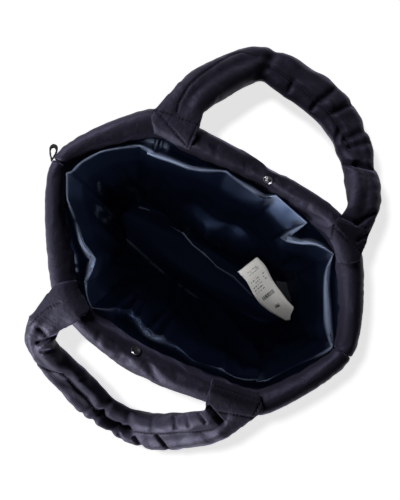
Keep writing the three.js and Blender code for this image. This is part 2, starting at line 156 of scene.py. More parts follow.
def cloth_material(name, dark, lit, roughness, specular, crinkle, crinkle_scale, threads):
    """A woven cloth with clouded colour and gloss, soft crinkles, a fine weave, and painted shade where the
    mesh notes it.
    """
    material = bpy.data.materials.new(name)
    material.use_nodes = True
    tree = material.node_tree
    link = tree.links.new
    shader = tree.nodes["Principled BSDF"]
    shader.inputs["Specular IOR Level"].default_value = specular
    place = tree.nodes.new("ShaderNodeTexCoord")
    cloud = tree.nodes.new("ShaderNodeTexNoise")
    cloud.inputs["Scale"].default_value = 26
    cloud.inputs["Detail"].default_value = 5
    tone = tree.nodes.new("ShaderNodeMix")
    tone.data_type = "RGBA"
    tone.inputs["A"].default_value = dark
    tone.inputs["B"].default_value = lit
    gloss = tree.nodes.new("ShaderNodeMapRange")
    gloss.inputs["To Min"].default_value = roughness - 0.05
    gloss.inputs["To Max"].default_value = roughness + 0.05
    fold = tree.nodes.new("ShaderNodeTexNoise")
    fold.inputs["Scale"].default_value = crinkle_scale
    fold.inputs["Detail"].default_value = 3
    fold.inputs["Distortion"].default_value = 0.6
    threading = tree.nodes.new("ShaderNodeGroup")
    threading.node_tree = weave
    threading.inputs["Threads"].default_value = threads
    soft = tree.nodes.new("ShaderNodeBump")
    soft.inputs["Strength"].default_value = crinkle
    soft.inputs["Distance"].default_value = 0.002
    fine = tree.nodes.new("ShaderNodeBump")
    fine.inputs["Strength"].default_value = 0.12
    fine.inputs["Distance"].default_value = 0.0002
    # Painted shade: the base colour goes nearly black and the gloss dulls where the mesh notes a shaded
    # crease.
    deep = tree.nodes.new("ShaderNodeAttribute")
    deep.attribute_name = "painted_crease_shade"
    painted_shade = tree.nodes.new("ShaderNodeMix")
    painted_shade.data_type = "RGBA"
    painted_shade.inputs["B"].default_value = (0.0008, 0.0008, 0.0012, 1)
    dull = tree.nodes.new("ShaderNodeMix")
    dull.inputs["B"].default_value = 1
    link(deep.outputs["Fac"], painted_shade.inputs["Factor"])
    link(deep.outputs["Fac"], dull.inputs["Factor"])
    link(place.outputs["Object"], cloud.inputs["Vector"])
    link(place.outputs["Object"], fold.inputs["Vector"])
    link(place.outputs["Object"], threading.inputs["Vector"])
    link(cloud.outputs["Fac"], tone.inputs["Factor"])
    link(cloud.outputs["Fac"], gloss.inputs["Value"])
    link(tone.outputs["Result"], painted_shade.inputs["A"])
    link(gloss.outputs["Result"], dull.inputs["A"])
    link(painted_shade.outputs["Result"], shader.inputs["Base Color"])
    link(dull.outputs["Result"], shader.inputs["Roughness"])
    link(fold.outputs["Fac"], soft.inputs["Height"])
    link(threading.outputs["Height"], fine.inputs["Height"])
    link(soft.outputs["Normal"], fine.inputs["Normal"])
    link(fine.outputs["Normal"], shader.inputs["Normal"])
    return material, shader


nylon, nylon_shader = cloth_material(
    "navy_nylon", (0.0058, 0.0055, 0.0090, 1), (0.0098, 0.0092, 0.0150, 1), 0.56, 0.26, 0.26, 230, 7000
)
nylon_shader.inputs["Specular Tint"].default_value = (0.63, 0.60, 1, 1)
nylon_shader.inputs["Sheen Weight"].default_value = 0.2
nylon_shader.inputs["Sheen Roughness"].default_value = 0.4
nylon_shader.inputs["Sheen Tint"].default_value = (0.58, 0.55, 0.95, 1)


def points_of(piece):
    flat = np.empty(len(piece.data.vertices) * 3)
    piece.data.vertices.foreach_get("co", flat)
    return flat.reshape(-1, 3)


def normals_of(piece):
    flat = np.empty(len(piece.data.vertices) * 3)
    piece.data.vertices.foreach_get("normal", flat)
    return flat.reshape(-1, 3)


def place_points(piece, points):
    piece.data.vertices.foreach_set("co", np.ascontiguousarray(points).ravel())
    piece.data.update()


def pick(piece):
    bpy.ops.object.select_all(action="DESELECT")
    piece.select_set(True)
    bpy.context.view_layer.objects.active = piece


def copy_of(node, name):
    """A copy of a solid's surface, merged, as a new piece to be worked on."""
    piece = bpy.data.objects.new(name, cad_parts[node].data.copy())
    piece.data.name = name
    bpy.context.scene.collection.objects.link(piece)
    pick(piece)
    bpy.ops.object.mode_set(mode="EDIT")
    bpy.ops.mesh.select_all(action="SELECT")
    bpy.ops.mesh.remove_doubles(threshold=1e-5)
    bpy.ops.object.mode_set(mode="OBJECT")
    return piece


def apply_all(piece):
    pick(piece)
    for modifier in list(piece.modifiers):
        bpy.ops.object.modifier_apply(modifier=modifier.name)


def even_mesh(piece, voxel, relax):
    piece.data.remesh_voxel_size = voxel
    bpy.ops.object.voxel_remesh()
    piece.modifiers.new("Relax", "SMOOTH").iterations = relax
    apply_all(piece)


def finer(piece, levels):
    step = piece.modifiers.new("Finer", "SUBSURF")
    step.levels = step.render_levels = levels
    apply_all(piece)


def swell(piece, held, growth, reach, stiff=0.1, pressure=4.0, frames=20):
    """Blows the cloth up between its held points, and lets no point move further than its reach."""
    start = points_of(piece)
    group = piece.vertex_groups.new(name="held")
    group.add([int(k) for k in np.flatnonzero(held)], 1.0, "REPLACE")
    cloth = piece.modifiers.new("Cloth", "CLOTH")
    settings = cloth.settings
    settings.quality = 4
    settings.mass = 0.25
    settings.tension_stiffness = settings.compression_stiffness = 12
    settings.shear_stiffness = 4
    settings.bending_stiffness = stiff
    settings.use_pressure = True
    settings.uniform_pressure_force = pressure
    settings.shrink_min = -growth
    settings.vertex_group_mass = "held"
    settings.effector_weights.gravity = 0
    cloth.collision_settings.use_collision = False
    cloth.point_cache.frame_start = 1
    cloth.point_cache.frame_end = frames
    for number in range(1, frames + 1):
        bpy.context.scene.frame_set(number)
    apply_all(piece)
    bpy.context.scene.frame_set(1)
    moved = points_of(piece) - start
    far = np.linalg.norm(moved, axis=1)
    place_points(piece, start + moved * np.minimum(1, reach / np.maximum(far, 1e-9))[:, None])
    piece.vertex_groups.clear()


def nearest(line, points):
    """How far each point is from a line, and how far along the line that is."""
    line = np.array(line, float)
    points = points[:, : line.shape[1]]
    gap, along, passed = np.full(len(points), np.inf), np.zeros(len(points)), 0
    for a, b in zip(line[:-1], line[1:]):
        length = np.linalg.norm(b - a)
        share = np.clip(((points - a) @ (b - a)) / length**2, 0, 1)
        off = np.linalg.norm(points - a - share[:, None] * (b - a), axis=1)
        along = np.where(off < gap, passed + share * length, along)
        gap = np.minimum(gap, off)
        passed += length
    return gap, along


def mark(piece, name, values):
    """Notes on the mesh how much painted shade a crease gets, or how much painted highlight the edge of a
    fold gets, for the material to use.
    """
    note = piece.data.attributes.get(name) or piece.data.attributes.new(name, "FLOAT", "POINT")
    before = np.empty(len(values))
    note.data.foreach_get("value", before)
    note.data.foreach_set("value", np.maximum(before, values))


def press(piece, line, deep, wide, lift=(0, 0, 1), dark=0.0):
    """Presses a stitched line or a crease, given in plan in mm, into the side of a piece that faces lift;
    dark paints shade along it.
    """
    points, normals = points_of(piece), normals_of(piece)
    gap, _ = nearest(line, points * 1000)
    share = np.exp(-((gap / wide) ** 2)) * np.clip(2 * (normals @ lift) + 0.1, 0, 1)
    place_points(piece, points - (deep / 1000 * share)[:, None] * np.array(lift))
    # Painted shade along the pressed line.
    if dark:
        mark(piece, "painted_crease_shade", dark * share)


def pucker(piece, line, high, wide, pitch, lift=(0, 0, 1)):
    """Draws the cloth up in small uneven ripples across a stitched line, given in plan in mm."""
    points, normals = points_of(piece), normals_of(piece)
    gap, along = nearest(line, points * 1000)
    turn = 2 * math.pi * along / pitch
    ripple = np.sin(turn + 1.7 * np.sin(0.37 * turn)) + 0.6 * np.sin(0.61 * turn + 2)
    rise = high / 1000 * ripple * np.exp(-((gap / wide) ** 2)) * np.clip(2 * (normals @ lift) + 0.1, 0, 1)
    place_points(piece, points + rise[:, None] * np.array(lift))


def finish_piece(piece, material, slot, *nodes):
    piece.data.materials.clear()
    piece.data.materials.append(material)
    pick(piece)
    bpy.ops.object.shade_smooth()
    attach(piece, "root")
    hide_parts(*nodes)


BASE_SEAM, QUILT_HEIGHTS, RIM_SEAM = 0.014, (0.078, 0.144), 0.196  # heights of the level seams
HALF_LONG, HALF_WIDE = 0.16, 0.11  # of the mouth
FOLDS_ROUND = 75  # upright folds in one turn round the bag
RIM_CREASES = {  # x, y to x, y, then how deep and how wide
    "back_panel": [(51, 97, 56, 84, 1.4, 2.2), (-48, 98, -42, 86, 1.0, 2.2), (12, 100, 14, 88, 1.0, 2.4)],
    "front_panel": [(-47, -103, -43, -116, 1.4, 2.4), (-22, -110, -18, -122, 1.3, 2.4)],
}


def outward(points):
    """The level direction out of the bag at each point."""
    out = np.stack([points[:, 0] / HALF_LONG**2, points[:, 1] / HALF_WIDE**2], 1)
    return out / np.linalg.norm(out, axis=1, keepdims=True)


def gather(wall, height, high):
    """Draws the outside of a wall into small upright folds above and below a level seam, and paints shade
    along the seam.
    """
    points, normals = points_of(wall), normals_of(wall)
    out = outward(points)
    outer = np.clip(3 * (normals[:, :2] * out).sum(1), 0, 1)
    turn = FOLDS_ROUND * np.arctan2(points[:, 1] / HALF_WIDE, points[:, 0] / HALF_LONG)
    ripple = np.sin(turn + 2.1 * np.sin(0.29 * turn)) + 0.6 * np.sin(0.63 * turn + 2)
    ripple *= 0.6 + 0.4 * np.sin(0.11 * turn + 400 * height)
    gap = abs(points[:, 2] - height) / 0.007
    points[:, :2] += (high * ripple * outer * gap * np.exp(1 - gap))[:, None] * out
    place_points(wall, points)
    # Painted shade in the folds along the seam.
    mark(wall, "painted_crease_shade", 0.6 * outer * np.exp(-((4 * gap) ** 2)))


def padded_wall(node):
    wall = copy_of(node, node + "_padded")
    even_mesh(wall, 0.0045, 3)
    points, normals = points_of(wall), normals_of(wall)
    x, y, z = points.T
    facing = (normals[:, :2] * outward(points)).sum(1)
    lines = np.minimum(abs(z - QUILT_HEIGHTS[0]), abs(z - QUILT_HEIGHTS[1])) < 0.0024
    ends = (abs(x) > 0.09) & (abs(normals[:, 1]) > 0.75) & (abs(y) < 0.016)
    inside = (facing < -0.1) & (z < 0.196)
    snap = np.array(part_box(node.replace("panel", "snap"))).mean(0)
    painted_shade = np.linalg.norm(points - snap, axis=1) < 0.010
    reach = np.where(facing < 0.1, np.where(z > 0.2, 0.0035, 0.001), 0.005)
    swell(wall, lines | ends | inside | painted_shade | (z < 0.0155), 0.015, reach, stiff=2)
    points = points_of(wall)
    points[ends] += normals[ends] * 0.0004
    place_points(wall, points)
    finer(wall, 1)
    for height in (BASE_SEAM, *QUILT_HEIGHTS):
        gather(wall, height, 0.0009)
    gather(wall, RIM_SEAM, 0.0002)
    for x0, y0, x1, y1, deep, wide in RIM_CREASES[node]:
        press(wall, [(x0, y0), (x1, y1)], deep, wide)
    finish_piece(wall, nylon, "shell", node)
    return wall


back_wall = padded_wall("back_panel")
front_wall = padded_wall("front_panel")


# Base
# The padded base of the same nylon, sewn to the walls all round and drawn in a little by that seam.
# It is flat where the bag stands on it.
base = copy_of("base_panel", "base_padded")
even_mesh(base, 0.004, 2)
rim_of_base = points_of(base)
far = np.linalg.norm(rim_of_base[:, :2], axis=1, keepdims=True)
drawn_in = 0.0065
rim_of_base[:, :2] *= 1 - drawn_in / np.maximum(far, 0.02)
place_points(base, rim_of_base)
swell(base, (rim_of_base[:, 2] < 0.002) | (rim_of_base[:, 2] > 0.010), 0.02, 0.0015)
finer(base, 1)
finish_piece(base, nylon, "shell", "base_panel")


# Handles
# Padded tubes of the same nylon, closed by one stitched line along the top that puckers them. Their ends
# are flattened and sewn over the rim in a box of stitches.
BACK_SEAM = [  # lines along a handle and on its ends, all in plan in mm
    (-94, 105), (-97, 113), (-98, 131), (-95, 144), (-89, 161), (-82, 177), (-75, 186), (-60, 190),
]
BACK_GROOVE = [
    (-45, 189), (-35, 189), (-25, 188), (-8, 187), (9, 184), (22, 182), (35, 177), (49, 170), (57, 165),
]
FRONT_SEAM = [
    (-84, -160), (-70, -159), (-57, -155), (-48, -159), (-40, -162), (-27, -165), (-18, -170),
    (-8, -172), (2, -173), (15, -173), (27, -169), (39, -162), (50, -154), (60, -145), (70, -136),
    (78, -129), (85, -122), (88, -115), (90, -106),
]
FRONT_GROOVE = [
    (-50, -158), (-40, -162), (-27, -165), (-18, -170), (-8, -172), (2, -173), (15, -173), (24, -171),
]
# On these lines the handle ends get painted shade alone, with no dent.
BACK_SHADE = [(84, 96), (112, 92)]  # where the end of a handle lies in its own shade
FRONT_SHADE = [(70, -108), (61, -88), (106, -86)]
BACK_CREASES = [  # x, y to x, y, then how deep and how wide
    (-19, 179, -20, 188, 1.6, 2.5), (8, 176, 9, 186, 2.0, 2.6), (11, 187, 15, 202, 2.4, 3.4),
    (26, 183, 36, 200, 2.4, 3.4), (49, 168, 60, 186, 2.0, 3.4), (42, 162, 40, 174, 1.8, 2.8),
    (58, 148, 69, 153, 3.6, 2.6), (69, 153, 84, 158, 4.0, 2.6), (57, 164, 68, 177, 1.6, 3.0),
    (82, 104, 97, 106, 2.2, 2.0), (97, 106, 105, 122, 2.2, 2.2), (105, 93, 113, 110, 2.0, 2.0),
    (-50, 174, -49, 206, 2.0, 5.0),
]
FRONT_CREASES = [
    (-8, -172, -13, -189, 2.4, 3.0), (12, -173, 8, -187, 2.4, 3.2), (-19, -170, -25, -186, 1.4, 2.2),
    (17, -180, 22, -184, 1.2, 2.0), (-8, -169, -6, -152, 2.6, 3.6), (-40, -151, -36, -147, 1.2, 2.2),
    (21, -171, 13, -154, 2.2, 4.0), (47, -159, 63, -165, 3.0, 1.8), (31, -174, 45, -180, 2.4, 1.8),
    (47, -130, 57, -141, 2.0, 2.2), (64, -116, 76, -120, 2.2, 1.8), (71, -106, 89, -112, 3.4, 2.0),
    (31, -142, 41, -157, 1.0, 2.4), (55, -122, 65, -131, 1.2, 2.0), (-91, -140, -79, -125, 3.0, 1.8),
    (-4, -161, 16, -163, 2.0, 7.0), (-84, -146, -76, -139, 1.6, 1.8), (-97, -128, -88, -130, 1.6, 2.0),
    (-102, -142, -90, -156, 0.8, 1.5),
]
PATCH_STITCHES = {
    "back_handle": [
        [(-113, 96), (-72, 104)], [(-113, 96), (-110, 79)], [(-72, 104), (-69, 83)], [(-113, 96), (-72, 84)],
        [(78, 99), (106, 106)], [(78, 99), (84, 82)], [(106, 106), (118, 82)], [(80, 92), (114, 84)],
    ],
    "front_handle": [
        [(60, -88), (108, -76)], [(71, -108), (110, -92)], [(60, -88), (71, -108)], [(108, -76), (110, -92)],
        [(-106, -130), (-101, -113), (-98, -104), (-92, -96)],
    ],
}


uneven = bpy.data.textures.new("uneven_wadding", "CLOUDS")
uneven.noise_scale = 0.022
uneven.noise_depth = 1


def padded_handle(node, seam, groove, creases, shaded, droop, plump):
    """Pads a handle that droops outwards by so many degrees, and makes it plumper by so many mm."""
    droop = math.radians(droop)
    lift = np.array([0, math.copysign(math.sin(droop), seam[0][1]), math.cos(droop)])
    handle = copy_of(node, node + "_padded")
    even_mesh(handle, 0.003, 6)
    points, normals = points_of(handle), normals_of(handle)
    free = np.clip((abs(points[:, 1]) - 0.115) / 0.02, 0, 1)
    place_points(handle, points + normals * (plump / 1000 * free)[:, None])
    points, normals = points_of(handle), normals_of(handle)
    to_seam = np.minimum(nearest(seam, points * 1000)[0], nearest(groove, points * 1000)[0])
    sewn = (to_seam < 2) & (normals[:, 2] > 0.2)
    patch = abs(points[:, 1]) < 0.112
    swell(handle, sewn | patch, 0.0, 0.0035, stiff=8, pressure=6)
    finer(handle, 2)
    loose = handle.vertex_groups.new(name="loose")
    for index, spot in enumerate(points_of(handle)):
        loose.add([index], float(np.clip((abs(spot[1]) - 0.115) / 0.02, 0, 1)), "REPLACE")
    wadding = handle.modifiers.new("Wadding", "DISPLACE")
    wadding.texture = uneven
    wadding.texture_coords = "LOCAL"
    wadding.vertex_group = "loose"
    wadding.strength = 0.004
    apply_all(handle)
    handle.vertex_groups.clear()
    # The groove, the seam, the creases and the stitch boxes get painted shade along with their dents, and
    # the shaded end gets painted shade alone.
    press(handle, groove, 3.5, 8, lift, dark=0.25)
    press(handle, groove, 2.2, 2.6, lift, dark=0.75)
    press(handle, seam, 0.8, 4, lift)
    press(handle, seam, 1.0, 1.0, lift, dark=0.85)
    for x0, y0, x1, y1, deep, wide in creases:
        press(handle, [(x0, y0), (x1, y1)], 1.3 * deep, wide, lift, dark=min(deep / 3.5, 0.85))
    press(handle, shaded, 0, 13, dark=0.75)
    for line in PATCH_STITCHES[node]:
        pucker(handle, line, 0.1, 3, 5)
        press(handle, line, 0.8, 1.0, dark=0.7)
    finish_piece(handle, nylon, "shell", node)
    return handle


back_handle = padded_handle(
    "back_handle", BACK_SEAM, BACK_GROOVE, BACK_CREASES, BACK_SHADE, droop=25, plump=2.2
)
front_handle = padded_handle(
    "front_handle", FRONT_SEAM, FRONT_GROOVE, FRONT_CREASES, FRONT_SHADE, droop=35, plump=1.0
)
lit_by(high_lamp, back_wall, front_wall, back_handle, front_handle, only=False)


# Stitches
# Short stitches of dark thread: in the seam along each handle, in the boxes that hold its ends, and along
# the two level quilting lines of the walls.
thread, _ = cloth_material(
    "navy_thread", (0.006, 0.006, 0.014, 1), (0.012, 0.012, 0.026, 1), 0.5, 0.3, 0.1, 900, 9000
)
bpy.ops.mesh.primitive_uv_sphere_add(segments=6, ring_count=5, radius=1)
stitch = bpy.context.object
stitch.name = "one_stitch"
bpy.ops.object.mode_set(mode="EDIT")
bpy.ops.transform.resize(value=(0.0011, 0.00033, 0.00033))
bpy.ops.object.mode_set(mode="OBJECT")


def lay_stitch(spot, normal, run):
    """Lays one stitch on a cloth, along run."""
    run = (run - normal * run.dot(normal)).normalized()
    copy = stitch.copy()
    copy.data = stitch.data.copy()
    turn = Matrix((run, normal.cross(run), normal)).transposed().to_4x4()
    copy.data.transform(Matrix.Translation(spot + normal * 0.0001) @ turn)
    bpy.context.scene.collection.objects.link(copy)
    return copy


def sewn_row(name, laid):
    """Joins the stitches that were laid into one piece."""
    bpy.ops.object.select_all(action="DESELECT")
    for copy in laid:
        copy.select_set(True)
    bpy.context.view_layer.objects.active = laid[0]
    bpy.ops.object.join()
    row = bpy.context.object
    row.name = row.data.name = name
    row.data.materials.append(thread)
    bpy.ops.object.shade_smooth()
    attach(row, "root")


def sew(name, cloth, lines, pitch=0.0031):
    """Lays stitches on the upper side of a cloth along lines given in plan in mm."""
    laid = []
    for line in lines:
        line = np.array(line, float) / 1000
        steps = np.linalg.norm(np.diff(line, axis=0), axis=1)
        along = np.concatenate([[0], np.cumsum(steps)])
        for at in np.arange(pitch / 2, along[-1], pitch):
            x, y = (np.interp(at, along, line[:, k]) for k in (0, 1))
            ahead_x, ahead_y = (np.interp(at + 0.0005, along, line[:, k]) for k in (0, 1))
            hit, spot, normal, _ = cloth.ray_cast((x, y, 0.4), (0, 0, -1))
            if hit and normal.z > 0.15:
                laid.append(lay_stitch(spot, normal, Vector((ahead_x - x, ahead_y - y, 0))))
    sewn_row(name, laid)


def sew_round(name, wall, heights, side, steps=110):
    """Lays stitches round the outside of a wall at level lines."""
    laid = []
    for height in heights:
        for turn in np.linspace(0.04, math.pi - 0.04, steps):
            place = Vector((0.15 * math.cos(turn), side * 0.095 * math.sin(turn), height))
            out = Vector((place.x / HALF_LONG**2, place.y / HALF_WIDE**2, 0)).normalized()
            hit, spot, normal, _ = wall.ray_cast(place + 0.1 * out, -out)
            if hit and normal.dot(out) > 0.3:
                laid.append(lay_stitch(spot, normal, Vector((-out.y, out.x, 0))))
    sewn_row(name, laid)


sew("back_handle_stitches", back_handle, [BACK_SEAM, BACK_GROOVE, *PATCH_STITCHES["back_handle"]])
sew("front_handle_stitches", front_handle, [FRONT_SEAM, *PATCH_STITCHES["front_handle"]])
sew_round("back_quilting", back_wall, QUILT_HEIGHTS, 1)
sew_round("front_quilting", front_wall, QUILT_HEIGHTS, -1)
bpy.data.objects.remove(stitch)


# Lining
# A thin glossy navy taffeta bag, sewn in under the rim. It is too wide for the mouth, so it falls into
# sharp folds below the seam, and its bottom is closed by one crooked seam along the middle. The edges of
# its folds get painted highlights.
taffeta, taffeta_shader = cloth_material(
    "navy_taffeta", (0.0024, 0.0036, 0.0090, 1), (0.0036, 0.0062, 0.0175, 1), 0.33, 0.55, 0.08, 60, 9000
)
taffeta_shader.inputs["Specular Tint"].default_value = (0.32, 0.50, 1, 1)
taffeta_tree = taffeta.node_tree
# Painted highlight: the base colour turns pale blue where the mesh notes the edge of a fold.
painted_fold_highlight = taffeta_tree.nodes.new("ShaderNodeAttribute")
painted_fold_highlight.attribute_name = "painted_fold_highlight"
highlight_paint = taffeta_tree.nodes.new("ShaderNodeMix")
highlight_paint.data_type = "RGBA"
highlight_paint.inputs["B"].default_value = (0.58, 0.70, 1.0, 1)
taffeta_tree.links.new(painted_fold_highlight.outputs["Fac"], highlight_paint.inputs["Factor"])
taffeta_tree.links.new(taffeta_shader.inputs["Base Color"].links[0].from_socket, highlight_paint.inputs["A"])
taffeta_tree.links.new(highlight_paint.outputs["Result"], taffeta_shader.inputs["Base Color"])
LINING_WALL = 0.0012
LINING_LONG, LINING_WIDE = 0.16, 0.09  # half sizes of the lining's mouth
SEAM_LEVEL, GROOVE_LEVEL, CREST_LEVEL, BASE_LEVEL = 0, 1, 2, 7
CREST_LIFT, UNDER_CREST_FALL, SEAM_TUCK = 0.007, 0.003, 0.004
CLEAR_OF_WALL = 0.0025
# The last column is the strength of the painted highlight along that crest.
CREST_PLACES = [  # x, y of a fold's crest on the solid, x, y of where it lies, and how brightly it gleams
    (-134, -10, -139, -16, 0.9), (-103, -38, -106, -42, 1.0), (-85, -46, -89, -49, 0.9),
    (-80, -59, -87, -61, 0.7), (-77, -73, -77, -78, 0.8), (-64, -82, -67, -86, 0.2),
    (-145, 10, -151, 5, 0.9), (-136, 27, -146, 20, 1.0), (-127, 41, -136, 39, 1.0),
    (-113, 52, -118, 54, 0.1), (-100, 61, -110, 61, 0.9), (-90, 61, -92, 64, 1.0),
    (-74, 59, -75, 66, 1.0), (-53, 62, -57, 69, 0.8), (-41, 70, -42, 77, 0.45),
    (-29, 79, -28, 84, 0.5), (-15, 74, -18, 82, 0.55), (8, 70, 16, 82, 0.6),
    (19, 82, 20, 90, 0.5), (31, 79, 37, 86, 0.6), (43, 77, 63, 83, 0.6),
    (52, 54, 47, 61, 1.0), (69, 62, 71, 69, 1.0), (90, 66, 94, 74, 1.0),
    (91, 56, 97, 59, 0.5), (98, 33, 107, 39, 0.7), (115, 10, 123, 15, 0.8),
    (133, 0, 142, -1, 0.6),
]
CREST_FROM, CREST_TO, CREST_GLEAM = np.split(np.array(CREST_PLACES, float), (2, 4), axis=1)
BACK_SLOPE = [(-8, 88), (22, 92)]  # where the lining leans in below the back snap
LABEL_PATH = [(107, 2), (64, 11), (36, 23)]  # the folds keep clear of the label here
BELLY = {  # how far up and out each row of the slack back wall bulges
    4: (-0.002, 0.005),
    5: (0.047, -0.001),
    6: (0.012, 0),
}
BELLY_LINE = [(-40, 44), (34, 44)]
BOTTOM_SEAM = [
    (-88, 13), (-80, 16), (-68, 17), (-52, 15), (-36, 15), (-20, 10), (-5, 8), (14, 4), (34, 4), (60, -2),
]
FRONT_FOLD = [(-84, -20), (-26, -30), (25, -33), (60, -30)]
# Painted highlights along the front crests are stronger near these lines.
FRONT_CATCHES = [[(-45, -88), (-5, -88)], [(62, -84), (100, -70)]]  # where the front folds meet the light
FRONT_PLEATS = [  # x at the top of a pleat, and x below
    (-49, -44), (-36, -35), (-24, -27), (-12, -8), (2, 2), (63, 58), (78, 71), (92, 84),
]
# Along these lines the gathered seam is only painted highlight, with no change in shape.
SEAM_GATHERS = [[(-109, -53), (-81, -87)], [(-126, 66), (-87, 73)]]  # where the gathered seam shows
CRUMPLES = [[(-120, 33), (-112, 32), (-101, 24), (-95, 28), (-91, 20)], [(-125, 14), (-119, 5)],
            [(-113, -7), (-106, -3), (-100, -6), (-102, -14), (-110, -14), (-113, -7)]]


def mark_edges(cut, rule):
    """Selects the edges that a rule picks."""
    for part in (*cut.verts, *cut.edges, *cut.faces):
        part.select = False
    for edge in cut.edges:
        if rule(edge):
            edge.select_set(True)


def levels_of(cut):
    """How many rows of points lie between each point and the sewn top edge."""
    level = {v: SEAM_LEVEL for v in cut.verts if v.is_boundary and v.co.z > 0.1}
    row = list(level)
    while row:
        below = {edge.other_vert(v) for v in row for edge in v.link_edges} - set(level)
        level.update({v: level[row[0]] + 1 for v in below})
        row = list(below)
    return level


def near_rows(spots, rows, reach=12):
    """Shares by which each point belongs to the rows near it, in mm, and how near it is to any of them."""
    gap = np.linalg.norm(spots[:, None, :2] * 1000 - rows, axis=2)
    share = np.exp(-((gap / reach) ** 2))
    total = share.sum(1)
    return share / np.maximum(total, 0.2)[:, None], total


def inward_at(spot):
    """The level direction into the bag."""
    return Vector((-spot.x / LINING_LONG**2, -spot.y / LINING_WIDE**2, 0)).normalized()


def room_to_wall(spot, inward):
    """How far a point may still move out before it meets a padded wall."""
    room = 1.0
    for panel in (back_wall, front_wall):
        hit, place, _, _ = panel.ray_cast(spot + inward * 0.03, -inward)
        if hit:
            room = min(room, (spot - place).dot(inward))
    return room


# The inner face of the solid is cut free along its top edge, and its bottom is taken out.
lining = copy_of("lining", "lining_bag")
cut = bmesh.new()
cut.from_mesh(lining.data)
top_edge = [face for face in cut.faces if min(v.co.z for v in face.verts) > 0.2
            and min(edge.calc_length() for edge in face.edges) < 1.3 * LINING_WALL]
bmesh.ops.delete(cut, geom=top_edge, context="FACES")
start = max((v for v in cut.verts if v.co.xy.length < 0.03 and v.co.z < 0.02), key=lambda v: v.co.z)
inner, reached = {start}, [start]
while reached:
    vertex = reached.pop()
    for edge in vertex.link_edges:
        other = edge.other_vert(vertex)
        if other not in inner:
            inner.add(other)
            reached.append(other)
bmesh.ops.delete(cut, geom=[v for v in cut.verts if v not in inner], context="VERTS")
level = levels_of(cut)
bmesh.ops.delete(cut, geom=[v for v in cut.verts if level[v] > BASE_LEVEL], context="VERTS")
cut.to_mesh(lining.data)
cut.free()
bpy.ops.object.mode_set(mode="EDIT")
bpy.ops.mesh.select_all(action="SELECT")
bpy.ops.mesh.tris_convert_to_quads(face_threshold=math.pi, shape_threshold=math.pi)
bpy.ops.object.mode_set(mode="OBJECT")
cut = bmesh.new()
cut.from_mesh(lining.data)
level = levels_of(cut)
# The crests of the folds move to where they hang, and the groove behind each of them follows.
crests = [v for v in cut.verts if level[v] == CREST_LEVEL]
shares, _ = near_rows(np.array([v.co for v in crests]), CREST_FROM)
for v, shift in zip(crests, shares @ (CREST_TO - CREST_FROM) / 1000):
    inward = inward_at(v.co)
    beside = [edge.other_vert(v) for edge in v.link_edges]
    below = min((o for o in beside if level[o] > CREST_LEVEL), key=lambda o: (o.co - v.co).length)
    v.co += Vector((*shift, CREST_LIFT))
    below.co += Vector((*(0.6 * shift), 0))
    for moved in (v, below):
        moved.co += inward * max(CLEAR_OF_WALL - room_to_wall(moved.co, inward), 0)
for v in [v for v in cut.verts if level[v] == GROOVE_LEVEL]:
    beside = [edge.other_vert(v) for edge in v.link_edges]
    seam = min((o for o in beside if level[o] == SEAM_LEVEL), key=lambda o: (o.co - v.co).xy.length)
    crest = min((o for o in beside if level[o] == CREST_LEVEL), key=lambda o: (o.co - v.co).xy.length)
    v.co.z -= 0.004 + 0.7 * (crest.co - seam.co).xy.length
    v.co.xy = (seam.co.xy + crest.co.xy) / 2
# The top is tucked under the rim, and the cloth below leans in or bulges.
for v, row in level.items():
    inward = inward_at(v.co)
    if row == SEAM_LEVEL:
        v.co -= inward * SEAM_TUCK
        v.co.z -= 0.003
    elif row == GROOVE_LEVEL:
        v.co -= inward * SEAM_TUCK / 2
    elif row == CREST_LEVEL + 1:
        gap, _ = nearest(BACK_SLOPE, np.array([v.co]) * 1000)
        lean = math.exp(-((gap[0] / 12) ** 2))
        v.co += inward * (UNDER_CREST_FALL + 0.006 * lean)
        v.co.z += 0.018 * lean
    elif row in BELLY:
        full = np.clip(v.co.y / 0.02, 0, 1) * np.clip((0.050 - abs(v.co.x + 0.010)) / 0.02, 0, 1)
        v.co.z += BELLY[row][0] * full
        v.co -= inward * (BELLY[row][1] * full)
# Each crest gets a narrow rounded edge, and a painted highlight along it.
mark_edges(cut, lambda edge: level[edge.verts[0]] == level[edge.verts[1]] == CREST_LEVEL)
crest_lines = [[v.co * 1000 for v in edge.verts] for edge in cut.edges if edge.select]
corners = []
for v in [v for v in cut.verts if level[v] == CREST_LEVEL]:
    before, after = [(edge.other_vert(v).co - v.co).xy for edge in v.link_edges if edge.select]
    if before.angle(-after) > math.radians(14):
        corners.append(v.co.copy())
tall = [edge for edge in cut.edges if abs(level[edge.verts[0]] - level[edge.verts[1]]) == 1
        and min(level[v] for v in edge.verts) >= CREST_LEVEL and edge.calc_length() > 0.014]
bmesh.ops.subdivide_edges(cut, edges=tall, cuts=2, use_grid_fill=True)
cut.to_mesh(lining.data)
cut.free()
bpy.ops.object.mode_set(mode="EDIT")
bpy.ops.mesh.select_mode(type="EDGE")
bpy.ops.mesh.bevel(offset=0.0005, segments=3, affect="EDGES")
bpy.ops.mesh.select_all(action="DESELECT")
bpy.ops.object.mode_set(mode="OBJECT")
# Painted highlight along the crests, set from the gleam column near the listed crests and from a ripple
# elsewhere.
spots = points_of(lining)
gap = np.min([nearest(line, spots * 1000)[0] for line in crest_lines], axis=0)
around = np.arctan2(spots[:, 1], spots[:, 0])
in_light = 0.06 + 0.4 * sum(np.exp(-((nearest(line, spots * 1000)[0] / 14) ** 2)) for line in FRONT_CATCHES)
catch = (0.5 + 0.5 * np.sin(17 * around + 3 * np.sin(5 * around))) * in_light
shares, close = near_rows(spots, CREST_TO)
catch = np.where(close > 0.2, (shares @ CREST_GLEAM)[:, 0], catch)
mark(lining, "painted_fold_highlight", catch * np.clip(1.3 - 2.9 * gap, 0, 1))
